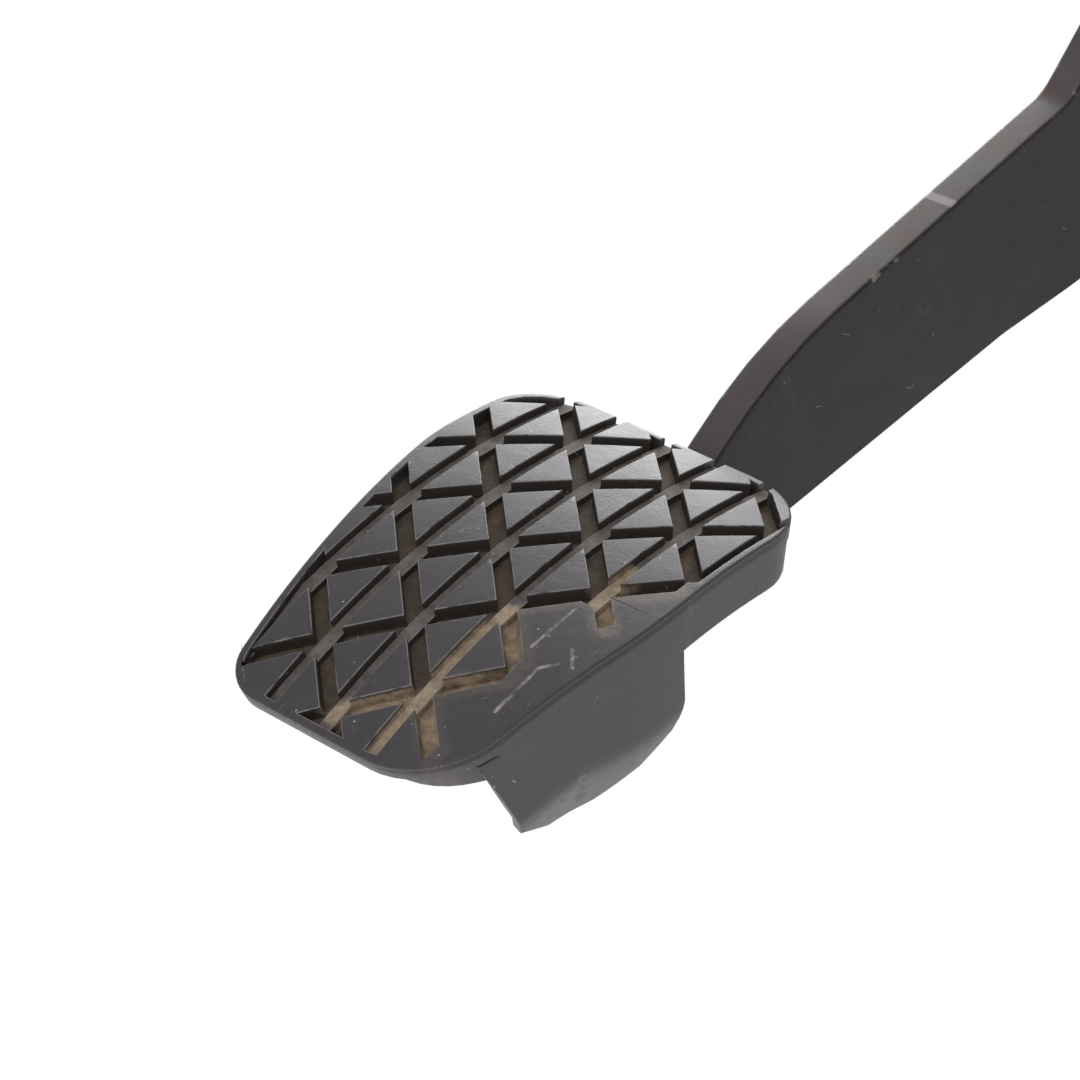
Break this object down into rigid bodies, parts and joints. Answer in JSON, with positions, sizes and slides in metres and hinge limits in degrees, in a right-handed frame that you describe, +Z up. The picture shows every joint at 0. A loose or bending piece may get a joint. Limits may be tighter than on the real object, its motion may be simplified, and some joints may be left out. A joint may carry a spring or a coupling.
{
  "type": "brake pedal assembly",
  "caption": "Suspended brake pedal: a lattice-treaded rubber pad on a flat steel arm that swings on a bushed pivot in a bulkhead bracket, held back by a coil spring.",
  "frame": {"origin": "centre of the four fixing holes, on the mounting face of the bracket's base plate", "axes": "+X to the driver's right, +Y out of the mounting face towards the bulkhead, +Z up"},
  "size_m": [0.09, 0.2382, 0.313],
  "materials": {
    "pad_rubber": "worn moulded rubber",
    "plate_steel": "black paint",
    "arm_paint": "satin black paint, worn at the edges",
    "weld_steel": "painted weld",
    "bush_plastic": "natural nylon",
    "bush_brass": "turned",
    "zinc_steel": "zinc plated",
    "bracket_paint": "satin black paint",
    "cushion_rubber": "moulded rubber",
    "spring_steel": "drawn wire"
  },
  "bodies": {
    "bracket": {"bracket_left_cheek": "bracket_paint", "bracket_right_cheek": "bracket_paint", "bracket_base": "bracket_paint", "stop_bar": "bracket_paint", "stop_cushion": "cushion_rubber", "spring_rod": "zinc_steel", "return_spring": "spring_steel", "spacer_sleeve": "zinc_steel", "pivot_bolt": "zinc_steel", "head_washer": "zinc_steel", "nut_washer": "zinc_steel", "pivot_nut": "zinc_steel"},
    "lever": {"pedal_pad": "pad_rubber", "pedal_plate": "plate_steel", "pedal_arm": "arm_paint", "weld_beads": "weld_steel", "pivot_tube": "arm_paint", "bush_left": "bush_plastic", "bush_right": "bush_plastic", "pushrod_bush": "bush_brass"}
  },
  "joints": [
    {"name": "pedal_swing", "type": "hinge", "parent": "bracket", "child": "lever", "pos_m": [0, -0.08, 0.0625], "axis": [1, 0, 0], "range_deg": [0, 22], "stiffness_Nm_per_rad": 3, "springref_deg": -22.92, "deforming": ["return_spring"]}
  ]
}
